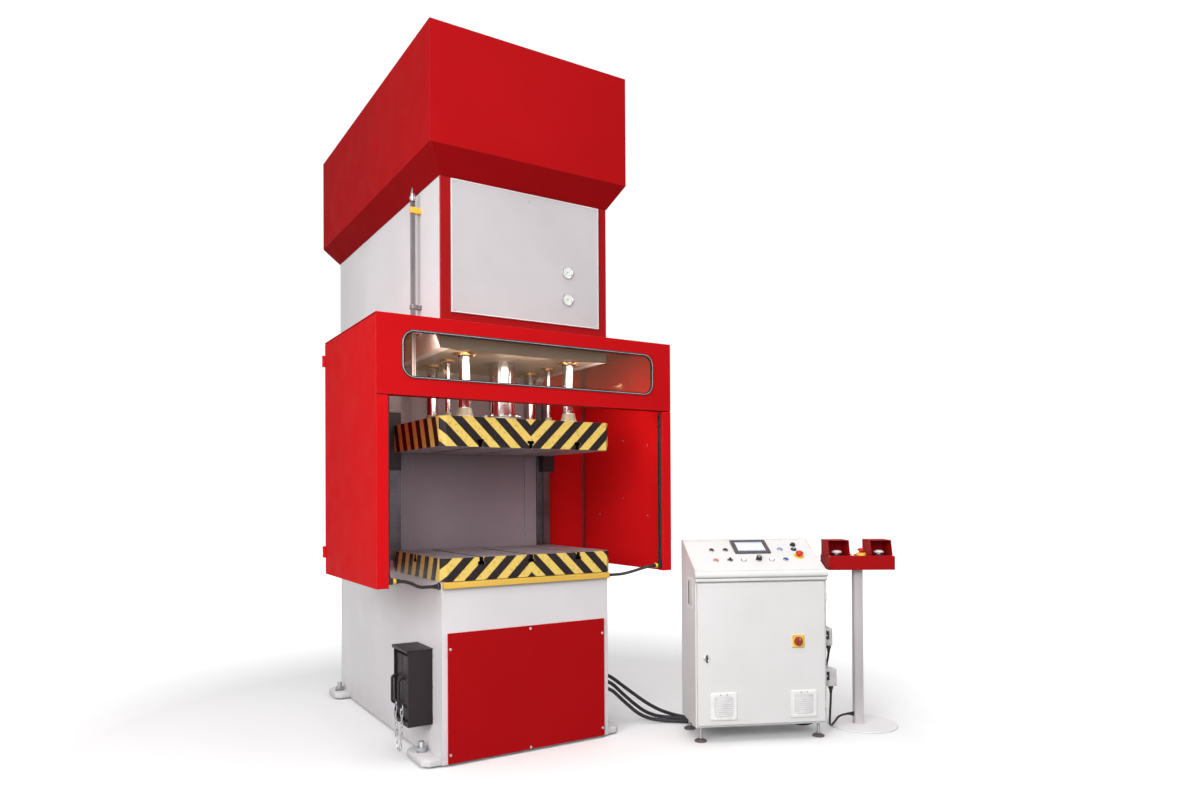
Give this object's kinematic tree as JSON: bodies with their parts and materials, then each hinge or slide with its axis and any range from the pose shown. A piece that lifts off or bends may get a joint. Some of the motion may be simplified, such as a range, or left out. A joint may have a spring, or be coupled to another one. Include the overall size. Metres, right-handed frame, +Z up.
{
  "type": "hydraulic C-frame press",
  "caption": "Hydraulic C-frame press with a T-slotted table, guarded ram, side doors, a sloped control desk and a two-hand button stand.",
  "frame": {"origin": "point of the floor under the axis of the main ram", "axes": "+X to the right along the front, +Y into the machine, +Z up"},
  "size_m": [2.8159, 2.6939, 3.532],
  "materials": {
    "press_grey": "semi-gloss paint",
    "press_red": "gloss paint",
    "panel_white": "satin paint",
    "machined": "ground and oiled",
    "chromed": "polished",
    "black_paint": "satin paint",
    "yellow_paint": "satin paint",
    "zinc": "zinc plated",
    "bronze": "machined bronze",
    "rubber": "matt",
    "smoked": "clear smoked sheet",
    "tank_grey": "satin paint",
    "anodised": "satin anodised",
    "desk_red": "gloss paint",
    "desk_white": "textured paint",
    "plastic_black": "matt",
    "plastic_red": "gloss",
    "plastic_white": "gloss",
    "plastic_blue": "gloss",
    "plastic_grey": "matt",
    "cable_black": "matt",
    "light_grey_paint": "satin paint"
  },
  "bodies": {
    "press": {"frame_side_left": "press_grey", "frame_side_right": "press_grey", "frame_base": "press_grey", "frame_head": "press_red", "levelling_screws": "zinc", "bolster_table": "machined", "main_cylinder": "tank_grey", "guide_bushes": "bronze", "guide_rails": "machined", "table_edge_strip": "yellow_paint", "lower_front_panel": "press_red", "head_front_panel": "panel_white", "panel_screws": "zinc", "pressure_gauges": "plastic_white", "top_cover": "press_red", "oil_tank": "tank_grey", "pump_motor": "tank_grey", "valve_block": "machined", "guard_hood": "press_red", "window_gasket": "rubber", "window_pane": "smoked", "guard_hinges": "zinc", "position_sensor": "anodised", "sensor_clamps": "yellow_paint", "prop_holder": "black_paint", "safety_props": "black_paint", "prop_chains": "zinc", "console_cabinet": "desk_white", "operator_display": "plastic_black", "console_feet": "plastic_black", "console_plugs": "plastic_grey", "control_stand": "light_grey_paint", "button_tray": "desk_red", "floor_cable_1": "cable_black", "floor_cable_2": "cable_black", "floor_cable_3": "cable_black", "curtain_cable_left": "cable_black", "curtain_cable_right": "cable_black", "stand_cable": "cable_black", "plug_cable": "cable_black"},
    "ram": {"ram_plate": "machined", "piston_rod": "chromed", "guide_columns": "chromed", "guide_shoes": "black_paint"},
    "door_left": {"guard_door_left": "press_red", "light_curtain_left": "black_paint"},
    "door_right": {"guard_door_right": "press_red", "light_curtain_right": "black_paint"},
    "console_door": {"console_door": "desk_white"},
    "door_lock": {"door_lock": "zinc"},
    "main_switch_knob": {"main_switch_knob": "plastic_red"},
    "push_button_red": {"push_button_red": "plastic_red"},
    "push_button_white": {"push_button_white": "plastic_white"},
    "push_button_blue": {"push_button_blue": "plastic_blue"},
    "selector_switch": {"selector_switch": "plastic_black"},
    "speed_knob": {"speed_knob": "plastic_black"},
    "emergency_stop_desk": {"emergency_stop_desk": "plastic_red"},
    "palm_button_left": {"palm_button_left": "plastic_white"},
    "palm_button_right": {"palm_button_right": "plastic_white"},
    "emergency_stop_stand": {"emergency_stop_stand": "plastic_red"}
  },
  "joints": [
    {"name": "ram_slide", "type": "slide", "parent": "press", "child": "ram", "axis": [0, 0, -1], "range_m": [0, 0.45]},
    {"name": "guard_door_left_hinge", "type": "hinge", "parent": "press", "child": "door_left", "pos_m": [-0.822, 0.489, 1.5], "axis": [0, 0, -1], "range_deg": [0, 100]},
    {"name": "guard_door_right_hinge", "type": "hinge", "parent": "press", "child": "door_right", "pos_m": [0.822, 0.489, 1.5], "axis": [0, 0, 1], "range_deg": [0, 100]},
    {"name": "desk_door_hinge", "type": "hinge", "parent": "press", "child": "console_door", "pos_m": [1.42967, -0.97197, 0.464], "axis": [0, 0, 1], "range_deg": [0, 110]},
    {"name": "door_lock_turn", "type": "hinge", "parent": "console_door", "child": "door_lock", "pos_m": [0.83183, -0.70673, 0.442], "axis": [0.4163, 0.9092, 0], "range_deg": [0, 90]},
    {"name": "main_switch_turn", "type": "hinge", "parent": "console_door", "child": "main_switch_knob", "pos_m": [1.28372, -0.91362, 0.52], "axis": [0.4163, 0.9092, 0], "range_deg": [0, 90]},
    {"name": "push_button_red_press", "type": "slide", "parent": "press", "child": "push_button_red", "axis": [0.1921, 0.4196, -0.8871], "range_m": [0, 0.004], "stiffness_N_per_m": 600, "springref_m": -0.001},
    {"name": "push_button_white_press", "type": "slide", "parent": "press", "child": "push_button_white", "axis": [0.1921, 0.4196, -0.8871], "range_m": [0, 0.004], "stiffness_N_per_m": 600, "springref_m": -0.001},
    {"name": "push_button_blue_press", "type": "slide", "parent": "press", "child": "push_button_blue", "axis": [0.1921, 0.4196, -0.8871], "range_m": [0, 0.004], "stiffness_N_per_m": 600, "springref_m": -0.001},
    {"name": "selector_turn", "type": "hinge", "parent": "press", "child": "selector_switch", "pos_m": [1.01795, -0.67974, 0.94308], "axis": [-0.1921, -0.4196, 0.8871], "range_deg": [-45, 45]},
    {"name": "speed_knob_turn", "type": "hinge", "parent": "press", "child": "speed_knob", "pos_m": [1.16252, -0.74593, 0.94308], "axis": [-0.1921, -0.4196, 0.8871], "range_deg": [-135, 135]},
    {"name": "emergency_stop_desk_press", "type": "slide", "parent": "press", "child": "emergency_stop_desk", "axis": [0.1921, 0.4196, -0.8871], "range_m": [0, 0.005]},
    {"name": "palm_button_left_press", "type": "slide", "parent": "press", "child": "palm_button_left", "axis": [0, 0, -1], "range_m": [0, 0.006], "stiffness_N_per_m": 900, "springref_m": -0.001},
    {"name": "palm_button_right_press", "type": "slide", "parent": "press", "child": "palm_button_right", "axis": [0, 0, -1], "range_m": [0, 0.006], "stiffness_N_per_m": 900, "springref_m": -0.001},
    {"name": "emergency_stop_stand_press", "type": "slide", "parent": "press", "child": "emergency_stop_stand", "axis": [0, 0, -1], "range_m": [0, 0.005]}
  ]
}
